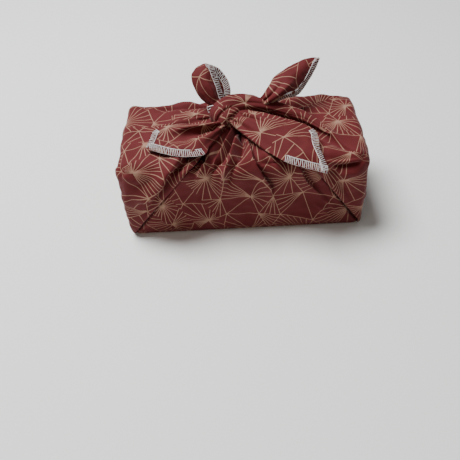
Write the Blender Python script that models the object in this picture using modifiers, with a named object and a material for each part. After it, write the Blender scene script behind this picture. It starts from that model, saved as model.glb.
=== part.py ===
"""Furoshiki wrap: one square cloth folded round a rectangular parcel and knotted on top.

Metres, +Z up. +X runs along the parcel, -Y is its front. The origin is the middle of the flat base.
The cloth is a single piece, so everything here becomes one closed solid, "wrap_cloth": the wrapped
parcel, the rolled folds and gathered strands that lie on it, the knot, and the four tails.
"""

import math

import bmesh
import bpy
from mathutils import Vector

# Driving dimensions
LENGTH = 0.200          # wrapped parcel, along X
DEPTH = 0.092           # wrapped parcel, along Y
HEIGHT = 0.074          # wrapped parcel, without its knot
EDGE_RADIUS = 0.006     # how softly the cloth turns over an edge
CELL = 0.010            # pitch of the parcel's surface grid
BULGE = 0.0015          # how far the slack cloth stands out in the middle of a wall
FLAP_STEP = 0.0018      # an end flap lies this much proud of the front and back flaps
FOLD_FOOT = 0.0012      # width of the step at an end flap's fold
TAIL_THICKNESS = 0.0016

# The knot sits a little left of the middle and behind it
KNOT = Vector((-0.003, 0.011, 0.081))
KNOT_RADII = (0.025, 0.018, 0.011)
MOUND_RADIUS = 0.050    # the cloth climbs to the knot inside this distance
MOUND_HEIGHT = 0.005

# An end flap's fold runs from the parcel's bottom corner to this X on the top edge, then to the knot
FOLD_AT_TOP_EDGE = {"left": -0.046, "right": 0.046}
FOLD_AT_BASE = 0.097

MM = 0.001

# Strands and rolled folds: a centreline by hand in millimetres, each point with the roll's radius
STRANDS = {
    "right_strand": [
        (16, 13, 86, 7), (33, 9, 83, 7), (48, 4, 79.5, 6.5), (62, -5, 76, 6), (77, -20, 73.5, 5), (92, -39, 70, 3.5),
    ],
    "left_strand": [(-16, 12, 82, 6.5), (-34, 16, 77.5, 5.5), (-54, 16, 73.5, 5), (-80, 12, 70.5, 4)],
    "left_back_strand": [(-16, 16, 82, 6), (-34, 26, 77, 5), (-54, 33, 72.5, 4.5), (-82, 34, 70, 4)],
    "back_left_roll": [(-14, 20, 82, 5.5), (-32, 34, 77, 5.5), (-52, 43, 72, 5), (-74, 46, 64, 3.5)],
    "back_middle_roll": [(-2, 22, 80, 5), (-1, 34, 76, 5), (0, 45, 72, 4), (2, 47, 54, 3), (3, 46.5, 34, 1.5)],
    "back_right_roll": [(14, 22, 82, 5), (36, 37, 76, 5), (60, 43, 72, 4), (86, 44, 69.5, 3)],
    "front_pleat_left": [
        (-10, 4, 81, 4.5), (-21, -12, 77, 4.5), (-30, -30, 74, 4), (-37, -45, 72, 3.5), (-44, -46.5, 52, 3), (-51, -46, 32, 1.5),
    ],
    "front_pleat_middle": [
        (-5, 2, 81, 4), (-5, -16, 77, 4), (-8, -34, 74, 3.5), (-12, -45, 72, 3.2), (-18, -47, 46, 3), (-23, -46, 22, 1.5),
    ],
    "front_pleat_right": [
        (0, 2, 81, 4), (4, -16, 77, 4), (5, -34, 74, 3.5), (8, -45, 72, 3.2), (17, -47, 42, 3), (26, -46, 18, 1.5),
    ],
    "fold_front_left": [
        (-95, -44, 4, 1.6), (-83, -48, 26, 2.8), (-67, -49, 49, 3.4), (-54, -47, 71, 3.6), (-43, -31, 75, 4), (-22, -4, 78, 5),
    ],
    "fold_front_right": [
        (95, -44, 4, 1.6), (80, -48, 32, 2.6), (64, -49, 54, 3), (52, -47, 71, 3.4), (37, -29, 75, 4), (14, -4, 78, 5),
    ],
    "fold_back_left": [
        (-95, 44, 4, 1.6), (-82, 48, 29, 2.6), (-66, 49, 52, 3), (-51, 46, 71, 3.4), (-34, 33, 75, 4), (-14, 18, 78, 5),
    ],
    "fold_back_right": [
        (95, 44, 4, 1.6), (82, 48, 29, 2.6), (66, 49, 52, 3), (52, 46, 71, 3.4), (31, 33, 75, 4), (8, 18, 78, 5),
    ],
    "end_crease_left": [(-97, -40, 70, 3), (-100.5, -24, 54, 3), (-101, -12, 34, 2.5), (-100, -4, 16, 1.5)],
    "end_crease_right": [(97, -38, 69, 3), (100.5, -22, 54, 3), (101, -10, 34, 2.5), (100, -2, 16, 1.5)],
}

# The knot's own bands, in the same form: the broad one goes over the other
BANDS = {
    "over_band": [
        (-28, 12, 76, 5), (-21, 14, 84, 6), (-9, 14, 88, 7), (4, 13, 88.5, 7), (16, 12, 86.5, 7), (28, 10, 82, 6),
    ],
    "under_band": [(-25, 9, 77, 4.5), (-16, 2, 81, 5.5), (-6, 2, 83, 5.5), (4, 12, 81, 5)],
    "back_band": [(-22, 20, 79, 5), (-8, 23, 83, 6), (8, 23, 83, 6), (22, 19, 79, 5)],
}

# Tails: rows from the knot to the corner of the cloth, in millimetres: one hem, the middle, the other hem
TAILS = {
    "front_right_tail": [
        ((4, 14, 84), (-3, 4, 84), (-4, 0, 80)),
        ((18, 9, 87), (10, -9, 88), (1, -11, 81)),
        ((37, 3, 85), (26, -20, 87), (15, -28, 80)),
        ((57, -14, 82), (44, -34, 85), (33, -46, 79)),
        ((62, -35, 78), (55, -44, 81), (48, -50, 77)),
        ((65, -54, 73), (65, -54, 73), (65, -54, 73)),
    ],
    "front_left_tail": [
        ((-20, 3, 84), (-16, 2, 82), (-10, 0, 80)),
        ((-38, -2, 85), (-31, -6, 81), (-22, -19, 82)),
        ((-52, -4, 85), (-44, -19, 83), (-29, -33, 80)),
        ((-67, -7, 84), (-53, -28, 84), (-35, -39, 80)),
        ((-73, -15, 82), (-65, -28, 84), (-55, -36, 81)),
        ((-77, -26, 81), (-77, -26, 81), (-77, -26, 81)),
    ],
    "back_left_tail": [
        ((-25, 14, 84), (-20, 12, 84), (-14, 18, 84)),
        ((-33, 18, 98), (-24, 16, 100), (-14, 20, 97)),
        ((-37, 22, 108), (-27, 17, 110), (-14, 23, 105)),
        ((-38, 24, 115), (-30, 18, 118), (-18, 27, 112)),
        ((-33, 27, 121), (-30, 25, 122), (-25, 28, 120)),
    ],
    "back_right_tail": [
        ((12, 18, 84), (16, 11, 86), (22, 15, 82)),
        ((22, 22, 98), (28, 14, 98), (35, 16, 93)),
        ((34, 34, 105), (39, 20, 104), (45, 13, 98)),
        ((49, 42, 109), (50, 30, 107), (55, 21, 101)),
        ((60, 44, 111), (61, 37, 109), (62, 29, 106)),
        ((71, 46, 110), (71, 46, 110), (71, 46, 110)),
    ],
}


def clear_scene():
    for obj in list(bpy.data.objects):
        bpy.data.objects.remove(obj, do_unlink=True)


def cotton():
    """Maroon printed cotton, matt."""
    material = bpy.data.materials.new("printed_cotton")
    material.use_nodes = True
    shader = material.node_tree.nodes["Principled BSDF"]
    shader.inputs["Base Color"].default_value = (0.20, 0.035, 0.045, 1)
    shader.inputs["Roughness"].default_value = 0.85
    shader.inputs["Metallic"].default_value = 0
    return material


def mesh_object(name, mesh, collection):
    obj = bpy.data.objects.new(name, mesh)
    collection.objects.link(obj)
    return obj


# The wrapped parcel


def fold_planes(side):
    """The two planes, a step apart, that draw one end flap's fold on the front and back walls."""
    top = Vector((FOLD_AT_TOP_EDGE[side], 0, HEIGHT))
    foot = Vector((math.copysign(FOLD_AT_BASE, top.x), 0, 0))
    inward = (top - foot).cross(Vector((0, 1, 0))).normalized()
    if inward.x * top.x > 0:
        inward = -inward
    return [(foot, inward), (foot + FOLD_FOOT * inward, inward)]


def flap_lift(point):
    """How far a point of the front or back wall is raised because an end flap lies over it."""
    for side in FOLD_AT_TOP_EDGE:
        (foot, inward), _ = fold_planes(side)
        past_fold = (Vector(point) - foot).dot(inward)
        if past_fold < FOLD_FOOT / 2:
            return FLAP_STEP
    return 0.0


def rounded(point):
    """The nearest point of the parcel's rounded outline, and the direction that faces out there."""
    half = (LENGTH / 2 - EDGE_RADIUS, DEPTH / 2 - EDGE_RADIUS)
    inner = Vector((
        min(max(point.x, -half[0]), half[0]),
        min(max(point.y, -half[1]), half[1]),
        min(max(point.z, EDGE_RADIUS), HEIGHT - EDGE_RADIUS),
    ))
    out = (point - inner).normalized()
    return inner + EDGE_RADIUS * out, out


def wall_bulge(point):
    """Slack cloth stands proud in the middle of each wall, and dies away at the edges."""
    along = math.cos(math.pi * point.x / LENGTH)
    across = math.cos(math.pi * point.y / DEPTH)
    upward = math.sin(math.pi * point.z / HEIGHT)
    on_wall = max(along, 0) if abs(point.y) > DEPTH / 2 - EDGE_RADIUS else max(across, 0)
    return BULGE * on_wall * upward


def mound(point):
    """The top rises in a soft cone towards the knot."""
    if point.z < HEIGHT - EDGE_RADIUS:
        return 0.0
    distance = math.hypot(point.x - KNOT.x, point.y - KNOT.y)
    return MOUND_HEIGHT * max(0.0, 1 - distance / MOUND_RADIUS) ** 1.5


def parcel(collection):
    bm = bmesh.new()
    bmesh.ops.create_cube(bm, size=1)
    bmesh.ops.scale(bm, vec=(LENGTH, DEPTH, HEIGHT), verts=bm.verts)
    bmesh.ops.translate(bm, vec=(0, 0, HEIGHT / 2), verts=bm.verts)
    for axis, size, start in ((0, LENGTH, -LENGTH / 2), (1, DEPTH, -DEPTH / 2), (2, HEIGHT, 0)):
        normal = Vector([float(i == axis) for i in range(3)])
        cuts = round(size / CELL)
        places = [start + EDGE_RADIUS, start + size - EDGE_RADIUS]
        places += [start + size * i / cuts for i in range(1, cuts)]
        for place in places:
            geometry = bm.verts[:] + bm.edges[:] + bm.faces[:]
            bmesh.ops.bisect_plane(bm, geom=geometry, plane_co=normal * place, plane_no=normal, dist=1e-6)
    for side in FOLD_AT_TOP_EDGE:
        for place, normal in fold_planes(side):
            walls = [f for f in bm.faces if abs(f.normal.y) > 0.9]
            edges = {e for f in walls for e in f.edges}
            verts = {v for f in walls for v in f.verts}
            geometry = list(verts) + list(edges) + walls
            bmesh.ops.bisect_plane(bm, geom=geometry, plane_co=place, plane_no=normal, dist=1e-6)
    for vert in bm.verts:
        on_wall = abs(vert.co.y) > DEPTH / 2 - 1e-6 and EDGE_RADIUS < vert.co.z
        place, out = rounded(vert.co)
        lift = wall_bulge(vert.co) + mound(vert.co) + (flap_lift(vert.co) if on_wall else 0)
        vert.co = place + lift * out
        if abs(vert.co.z) < 1e-6:
            vert.co.z = 0
    bmesh.ops.remove_doubles(bm, verts=bm.verts, dist=1e-5)
    bmesh.ops.triangulate(bm, faces=bm.faces)
    mesh = bpy.data.meshes.new("wrap_cloth")
    bm.to_mesh(mesh)
    bm.free()
    return mesh_object("wrap_cloth", mesh, collection)


# Strands, rolled folds and the knot


def roll(name, route, collection):
    """A smooth tube of cloth through the route's points, as a closed mesh."""
    curve = bpy.data.curves.new(name, "CURVE")
    curve.dimensions = "3D"
    curve.bevel_depth = MM
    curve.bevel_resolution = 2
    curve.resolution_u = 3
    curve.use_fill_caps = True
    spline = curve.splines.new("NURBS")
    spline.points.add(len(route) - 1)
    for point, (x, y, z, radius) in zip(spline.points, route):
        point.co = (x * MM, y * MM, z * MM, 1)
        point.radius = radius
    spline.order_u = 4
    spline.use_endpoint_u = True
    guide = mesh_object(name + "_guide", curve, collection)
    bpy.context.view_layer.update()
    graph = bpy.context.evaluated_depsgraph_get()
    mesh = bpy.data.meshes.new_from_object(guide.evaluated_get(graph))
    bpy.data.objects.remove(guide)
    return closed(name, mesh, collection)


def closed(name, mesh, collection):
    """Welds a mesh, faces it outwards and makes it a cutter-side object."""
    bm = bmesh.new()
    bm.from_mesh(mesh)
    bmesh.ops.remove_doubles(bm, verts=bm.verts, dist=1e-6)
    bmesh.ops.recalc_face_normals(bm, faces=bm.faces)
    bm.to_mesh(mesh)
    bm.free()
    obj = mesh_object(name, mesh, collection)
    obj.hide_render = True
    obj.display_type = "WIRE"
    return obj


def knot_core(collection):
    bm = bmesh.new()
    bmesh.ops.create_uvsphere(bm, u_segments=16, v_segments=8, radius=1)
    bmesh.ops.scale(bm, vec=KNOT_RADII, verts=bm.verts)
    bmesh.ops.translate(bm, vec=KNOT, verts=bm.verts)
    mesh = bpy.data.meshes.new("knot_core")
    bm.to_mesh(mesh)
    bm.free()
    return closed("knot_core", mesh, collection)


# The tails


def between(points, t):
    """A smooth curve through evenly spaced points (Catmull-Rom), t from 0 to 1."""
    place = t * (len(points) - 1)
    i = min(int(place), len(points) - 2)
    f = place - i
    here, after = points[i], points[i + 1]
    before = points[i - 1] if i else 2 * here - after
    beyond = points[i + 2] if i + 2 < len(points) else 2 * after - here
    turn = 2 * before - 5 * here + 4 * after - beyond
    twist = 3 * (here - after) + beyond - before
    return here + 0.5 * f * ((after - before) + f * (turn + f * twist))


def tail(name, rows, collection, along=12, across=6):
    """A curled sheet from the knot to the cloth's corner, with a thickness."""
    rails = [[Vector(row[i]) * MM for row in rows] for i in range(3)]
    bm = bmesh.new()
    grid = []
    for i in range(along + 1):
        hem, middle, other_hem = (between(rail, i / along) for rail in rails)
        arch = middle - (hem + other_hem) / 2
        line = []
        for j in range(across + 1):
            s = j / across
            line.append(bm.verts.new(hem.lerp(other_hem, s) + 4 * s * (1 - s) * arch))
        grid.append(line)
    for low, high in zip(grid, grid[1:]):
        for j in range(across):
            bm.faces.new((low[j], low[j + 1], high[j + 1], high[j]))
    bmesh.ops.remove_doubles(bm, verts=bm.verts, dist=1e-5)
    bmesh.ops.recalc_face_normals(bm, faces=bm.faces)
    mesh = bpy.data.meshes.new(name)
    bm.to_mesh(mesh)
    bm.free()
    sheet = mesh_object(name + "_sheet", mesh, collection)
    solidify = sheet.modifiers.new("thickness", "SOLIDIFY")
    solidify.thickness = TAIL_THICKNESS
    solidify.offset = 0
    bpy.context.view_layer.update()
    graph = bpy.context.evaluated_depsgraph_get()
    thick = bpy.data.meshes.new_from_object(sheet.evaluated_get(graph))
    bpy.data.objects.remove(sheet)
    return closed(name, thick, collection)


def main():
    clear_scene()
    wrap = bpy.data.collections.new("furoshiki_wrap")
    helpers = bpy.data.collections.new("joined_shapes")
    for collection in (wrap, helpers):
        bpy.context.scene.collection.children.link(collection)
    cloth = parcel(wrap)
    cloth.data.materials.append(cotton())
    shapes = [knot_core(helpers)]
    shapes += [roll(name, route, helpers) for name, route in {**BANDS, **STRANDS}.items()]
    shapes += [tail(name, rows, helpers) for name, rows in TAILS.items()]
    for shape in shapes:
        join = cloth.modifiers.new("join_" + shape.name, "BOOLEAN")
        join.operation = "UNION"
        join.solver = "EXACT"
        join.object = shape


main()
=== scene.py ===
# %% [markdown]
# # A furoshiki-wrapped parcel
# A furoshiki is one hemmed square of cotton. It lies cornerwise under a box, its four corners come
# up over the sides, and one knot on top ties them together. The solid model gives the parcel's
# size and place. Here that plain solid is replaced by real cloth: thin sheets with folds, a print
# that follows the cloth, and the white overlock stitching of its hem.

# %% Load the fixed frame
import math
from functools import partial, reduce

import bpy
import numpy as np
from mathutils import Matrix, Vector


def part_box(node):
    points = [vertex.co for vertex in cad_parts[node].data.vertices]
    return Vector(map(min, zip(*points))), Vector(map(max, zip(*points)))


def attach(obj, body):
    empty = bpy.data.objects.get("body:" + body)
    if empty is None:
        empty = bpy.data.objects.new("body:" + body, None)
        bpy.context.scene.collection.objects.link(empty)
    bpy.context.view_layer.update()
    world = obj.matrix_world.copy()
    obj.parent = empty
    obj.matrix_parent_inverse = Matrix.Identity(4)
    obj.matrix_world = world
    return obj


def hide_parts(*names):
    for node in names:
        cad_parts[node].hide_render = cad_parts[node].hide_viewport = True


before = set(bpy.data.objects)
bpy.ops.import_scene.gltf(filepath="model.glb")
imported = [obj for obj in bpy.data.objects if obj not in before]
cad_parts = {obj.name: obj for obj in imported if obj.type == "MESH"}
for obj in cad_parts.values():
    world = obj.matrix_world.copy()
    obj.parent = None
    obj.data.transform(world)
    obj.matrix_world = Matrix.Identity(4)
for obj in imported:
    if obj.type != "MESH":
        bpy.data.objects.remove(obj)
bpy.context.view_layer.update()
NODE = "wrap_cloth"
low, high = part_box(NODE)
print(len(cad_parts), "node to replace:", NODE)
print("solid model from", [round(c, 4) for c in low], "to", [round(c, 4) for c in high])

# %% [markdown]
# The parcel is a rounded box. All places below are in millimetres in the frame of the solid: X runs
# along the parcel, -Y is its front, and Z = 0 is the table. `skin` puts any point near the parcel
# on its rounded outside and lifts it off along the outward direction. Working with a base shape and
# a lift keeps every fold on the cloth, on flat walls and round edges alike. The front top edge is
# softer than the others, and the cloth stands a little off the two ends, as it does over a real box.

# %% The parcel's outside
MM = 0.001
HALF_LENGTH, HALF_DEPTH, HEIGHT = 100.0, 46.0, 74.0
SIZE = np.array([HALF_LENGTH, HALF_DEPTH, HEIGHT])
EDGE = 5.0                              # radius of the parcel's edges
SOFT_EDGE, SOFT_REACH = 9.0, 20.0       # the front top edge is this much rounder, within this distance
ROOM = 1.2                              # the box inside is this much smaller, which leaves room for valleys
LEFT_BULGE, RIGHT_BULGE = 2.5, 0.3      # how far the cloth stands off the two ends towards the front
BULGE_MIDWAY, BULGE_ARCH = 0.6, 100.0   # share of the bulge at half depth, and the height of its arch
KNOT = np.array([-3.0, 11.0])
TINY = 0.01                             # a point this close to a wall lies on it


def on_top(*places):
    """Points of a route on the top, from X and Y."""
    return [(x, y, HEIGHT) for x, y in places]


def on_front(*places):
    """Points of a route on the front wall, from X and Z."""
    return [(x, -HALF_DEPTH, z) for x, z in places]


def on_back(*places):
    """Points of a route on the back wall, from X and Z."""
    return [(x, HALF_DEPTH, z) for x, z in places]


def unit(directions):
    return directions / np.maximum(np.linalg.norm(directions, axis=-1, keepdims=True), 1e-9)


def ease(x):
    """A soft step from 0 to 1."""
    x = np.clip(x, 0, 1)
    return x * x * (3 - 2 * x)


def edge_radius(points):
    """The radius of the edge near each point: the front top edge is the softest."""
    to_front_edge = np.hypot(HEIGHT - points[..., 2], HALF_DEPTH + points[..., 1])
    return (EDGE + SOFT_EDGE * np.exp(-((to_front_edge / SOFT_REACH) ** 2)))[..., None]


def outward(points):
    """The parcel's nearest inner point, and the direction that faces out there."""
    radius = edge_radius(points)
    inner = np.clip(points, np.array([-1, -1, 0]) * SIZE + radius, SIZE - radius)
    return inner, unit(points - inner)


def skin(points, lift):
    """Points on the parcel's rounded outside, lifted off it, with the ends a little bulged."""
    inner, out = outward(points)
    made = inner + out * (edge_radius(points) - ROOM + lift[..., None])
    to_front = np.clip(BULGE_MIDWAY - made[:, 1] / (2 * HALF_DEPTH), 0, 1)
    near_end = np.clip(made[:, 0] / HALF_LENGTH, -1, 1) ** 3 * to_front
    bulge = np.where(near_end < 0, LEFT_BULGE, RIGHT_BULGE) * near_end
    made[:, 0] += bulge * np.sin(math.pi * np.clip(made[:, 2] / BULGE_ARCH, 0, 1))
    made[:, 2] = np.maximum(made[:, 2], 0)
    return made


# %% [markdown]
# Folds are drawn as routes over the parcel. A point of cloth near a route is raised by a bump that
# may be wide on one side and steep on the other, which is how a lapped fold looks: a soft back and
# a shadow line in front. Routes are smoothed with a Catmull-Rom curve, so a few points are enough.

# %% Routes and folds
ROUTE_STEPS = 6                         # short straight steps between two points of a route
RIDGE_POWER, VALLEY_POWER = 2.0, 1.3    # a ridge is a soft bell, a valley comes nearly to a point


def catmull(points, count):
    """Evenly spaced samples of a smooth curve through points, along the first axis."""
    p = np.asarray(points, float)
    p = np.concatenate([[2 * p[0] - p[1]], p, [2 * p[-1] - p[-2]]])
    place = np.linspace(0, len(p) - 3, count)
    i = np.minimum(place.astype(int), len(p) - 4)
    t = (place - i).reshape((-1,) + (1,) * (p.ndim - 1))
    a, b, c, d = p[i], p[i + 1], p[i + 2], p[i + 3]
    return b + 0.5 * t * ((c - a) + t * ((2 * a - 5 * b + 4 * c - d) + t * (3 * (b - c) + d - a)))


def lengths_along(grid, axis=0):
    """How far each point lies along its line of the grid."""
    steps = np.linalg.norm(np.diff(grid, axis=axis), axis=-1)
    start = np.zeros_like(np.take(steps, [0], axis=axis))
    return np.cumsum(np.concatenate([start, steps], axis=axis), axis=axis)


def spread(values, t):
    """A few values, placed evenly from 0 to 1, read at t."""
    values = np.atleast_1d(values)
    return np.interp(t, np.linspace(0, 1, len(values)), values)


def near(points, out, route):
    """For each point: its distance to a route, how far along, the way to the left, and if it is there."""
    best, along = np.full(len(points), 1e9), np.zeros(len(points))
    left, away = np.zeros_like(points), np.zeros_like(points)
    starts = lengths_along(route)
    for i, (a, b) in enumerate(zip(route, route[1:])):
        step = b - a
        length = np.linalg.norm(step)
        t = np.clip(((points - a) @ step) / (step @ step), 0, 1)
        from_route = points - (a + t[:, None] * step)
        distance = np.linalg.norm(from_route, axis=1)
        closer = distance < best
        best[closer] = distance[closer]
        along[closer] = (starts[i] + t * length)[closer] / starts[-1]
        away[closer] = from_route[closer]
        left[closer] = np.cross(out, step / length)[closer]
    return best, along, left, np.einsum("ij,ij->i", left, away) >= 0


def fold(points, out, route, height, left, right, fade=(0.0, 0.35), lean=0.0):
    """A fold's lift, and how its crest leans over to the right, so that its steep side overhangs."""
    smooth = catmull(route, ROUTE_STEPS * (len(route) - 1) + 1)
    distance, along, to_left, on_left = near(points, out, smooth)
    heights = spread(height, along)
    taper = np.ones(len(points))
    if fade[0]:
        taper *= ease(along / fade[0])
    if fade[1]:
        taper *= ease((1 - along) / fade[1])
    power = np.where(heights < 0, VALLEY_POWER, RIDGE_POWER)
    bump = heights * taper * np.exp(-((distance / np.where(on_left, left, right)) ** power))
    return bump, -lean * bump[:, None] * to_left


def all_folds(points, out, folds):
    lift, shift = np.zeros(len(points)), np.zeros_like(points)
    for facts in folds:
        bump, leant = fold(points, out, *facts)
        lift += bump
        shift += leant
    return lift, shift


rng = np.random.default_rng(11)
ANY_PHASE = 6.28
WAVES = [
    (rng.normal(size=3) * 2 * math.pi / length, rng.uniform(0, ANY_PHASE), size)
    for length, size in ((55, 0.45), (38, 0.35), (27, 0.25), (19, 0.16), (13, 0.1), (9, 0.06))
    for _ in range(3)
]


def slack(points):
    """Small uneven swells of slack cloth, from a few fixed waves."""
    return sum(size * np.sin(points @ wave + phase) for wave, phase, size in WAVES)


print("slack cloth made of", len(WAVES), "waves")

# %% [markdown]
# Each flap of the cloth runs from the parcel's bottom edge over the top edge to the knot, where it is
# gathered. So a flap is a fan of rays from the knot. A ray is a short list of corner points; guides
# at a few places across the fan are blended, and each ray is read at even steps. Because the grid
# runs along the pull of the cloth, gathers are just waves across the fan.

# %% A fan of rays
def rays(guides, across, steps):
    """A grid of points, a column for each value of `across`, with steps[i] rows from corner i to i + 1."""
    places = [place for place, _ in guides]
    corners = np.array([ray for _, ray in guides], float).transpose(1, 2, 0)
    grid = []
    for v in across:
        ray = np.array([[np.interp(v, places, line) for line in corner] for corner in corners])
        column = [a + np.arange(n)[:, None] / n * (b - a) for a, b, n in zip(ray, ray[1:], steps)]
        grid.append(np.vstack(column + [ray[-1:]]))
    return np.array(grid)


def evened(grid):
    """The same number of rows, at even steps along each column."""
    made = []
    for column in grid:
        length = lengths_along(column)
        at = np.linspace(0, length[-1], len(column))
        made.append(np.stack([np.interp(at, length, column[:, k]) for k in range(3)], axis=1))
    return np.array(made)

# %% [markdown]
# The print is a web of thin gold lines: hubs joined into uneven triangles, many of them filled with a
# fan of rays. It is drawn with shader maths on the flat-cloth UV map. Hubs sit on a triangular lattice,
# each pushed aside by a fixed random amount. Each hub also has a random rank, and the fan of a triangle
# starts at its corner of highest rank, so that fans gather round some hubs and leave others bare. Any
# point of the cloth can only lie in one of the eight triangles round it, so eight copies of one small
# node group are enough.

# %% Node helpers
def add_node(tree, kind, *values, inputs=None, **settings):
    """A new node with its settings. Its inputs are given in order or by key, as plain values or sockets."""
    node = tree.nodes.new(kind)
    for name, value in settings.items():
        setattr(node, name, value)
    for key, value in [*enumerate(values), *(inputs or {}).items()]:
        if isinstance(value, bpy.types.NodeSocket):
            tree.links.new(value, node.inputs[key])
        else:
            node.inputs[key].default_value = value
    return node


def maths(tree, operation, *values):
    return add_node(tree, "ShaderNodeMath", *values, operation=operation).outputs[0]


def vectors(tree, operation, *values):
    node = add_node(tree, "ShaderNodeVectorMath", *values, operation=operation)
    return node.outputs["Value" if operation in ("LENGTH", "DISTANCE") else "Vector"]


def combined(tree, operation, values):
    """One number from many, such as their sum or the smallest of them."""
    return reduce(partial(maths, tree, operation), values)


def parts(tree, vector):
    return add_node(tree, "ShaderNodeSeparateXYZ", vector).outputs


def noise(tree, vector, **settings):
    return add_node(tree, "ShaderNodeTexNoise", inputs={"Vector": vector, **settings}).outputs[0]


def white_noise(tree, vector):
    node = add_node(tree, "ShaderNodeTexWhiteNoise", inputs={"Vector": vector}, noise_dimensions="3D")
    return node.outputs


def blend(tree, share, first, second):
    """A colour between two others."""
    colours = {0: share, 6: first, 7: second}
    return add_node(tree, "ShaderNodeMix", inputs=colours, data_type="RGBA").outputs[2]


def new_group(name, sockets, outputs):
    group = bpy.data.node_groups.new(name, "ShaderNodeTree")
    for socket, kind in sockets:
        group.interface.new_socket(socket, in_out="INPUT", socket_type=kind)
    for socket in outputs:
        group.interface.new_socket(socket, in_out="OUTPUT", socket_type="NodeSocketFloat")
    return group, group.nodes.new("NodeGroupInput").outputs, group.nodes.new("NodeGroupOutput").inputs


# %% One printed triangle
OUTSIDE = 99.0          # a distance that is surely off every line
FILLED_SHARE = 0.66     # share of the triangles that hold a fan
FEWEST_STEPS = 3.0      # a fan has this many steps between its rays, or up to two more
RAY_SLANT = 0.92        # rays are crossed a little askew, so they are nearer than they seem


def triangle_group():
    """Distance from a point to the lines printed in one triangle: its three sides and its fan."""
    kinds = [(name, "NodeSocketVector") for name in ("Point", "A", "B", "C", "Place")]
    kinds += [(name, "NodeSocketFloat") for name in ("A Rank", "B Rank", "C Rank")]
    tree, given, result = new_group("printed_triangle", kinds, ["Distance"])
    do, vec = partial(maths, tree), partial(vectors, tree)
    point, a_hub, b_hub, c_hub, place, a_rank, b_rank, c_rank = (given[i] for i in range(8))
    to_b, to_c, to_p = (vec("SUBTRACT", spot, a_hub) for spot in (b_hub, c_hub, point))

    def doubled_area(one, other):
        return parts(tree, vec("CROSS_PRODUCT", one, other))[2]

    # a, b and c say where the point lies: each is 1 at its own corner and 0 on the side across from it.
    whole = doubled_area(to_b, to_c)
    b = do("DIVIDE", doubled_area(to_p, to_c), whole)
    c = do("DIVIDE", doubled_area(to_b, to_p), whole)
    b_and_c = do("ADD", b, c)
    a = do("SUBTRACT", 1.0, b_and_c)
    area = do("ABSOLUTE", whole)
    side_bc, side_ca, side_ab = vec("DISTANCE", b_hub, c_hub), vec("LENGTH", to_c), vec("LENGTH", to_b)
    to_sides = [
        do("DIVIDE", do("MULTIPLY", share, area), side)
        for share, side in ((a, side_bc), (b, side_ca), (c, side_ab))
    ]

    random = white_noise(tree, place)
    no_fan = do("GREATER_THAN", random["Value"], FILLED_SHARE)
    a_first = do("GREATER_THAN", a_rank, do("MAXIMUM", b_rank, c_rank))
    b_first = do("GREATER_THAN", b_rank, do("MAXIMUM", a_rank, c_rank))
    c_first = do("SUBTRACT", 1.0, do("ADD", a_first, b_first))
    turns, widths = [], []
    for first, share, depth, side in (
        (a_first, c, b_and_c, side_bc),
        (b_first, c, do("ADD", a, c), side_ca),
        (c_first, b, do("ADD", a, b), side_ab),
    ):
        turns.append(do("MULTIPLY", first, do("DIVIDE", share, do("MAXIMUM", depth, 0.001))))
        widths.append(do("MULTIPLY", first, do("MULTIPLY", depth, side)))
    more = do("FLOOR", do("MULTIPLY", parts(tree, random["Color"])[1], 3.0))
    count = do("ADD", FEWEST_STEPS, more)
    steps = do("MULTIPLY", combined(tree, "ADD", turns), count)
    off_ray = do("ABSOLUTE", do("SUBTRACT", steps, do("ROUND", steps)))
    wide = do("MULTIPLY", combined(tree, "ADD", widths), RAY_SLANT)
    ray = do("MULTIPLY", do("DIVIDE", off_ray, count), wide)
    ray = do("ADD", ray, do("MULTIPLY", no_fan, OUTSIDE))
    inside = do("GREATER_THAN", combined(tree, "MINIMUM", (a, b, c)), -0.001)
    beyond = do("MULTIPLY", do("SUBTRACT", 1.0, inside), OUTSIDE)
    nearest = combined(tree, "MINIMUM", (*to_sides, ray))
    tree.links.new(do("ADD", nearest, beyond), result[0])
    return tree


# %% The whole print
HUB_SPACING = 23.5
HUB_STRAY = 0.28 * HUB_SPACING
ROW_HEIGHT = HUB_SPACING * math.sqrt(3) / 2
HALF_LINE, HUB_SPREAD = 0.25, 0.06      # half the width of a line, and how much wider it is at a hub
HUB_FALL = -0.45                        # how fast the ink of a hub thins out, per mm
INK_EDGE = (-0.10, 0.16)                # the soft edge of a line, in mm


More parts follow.
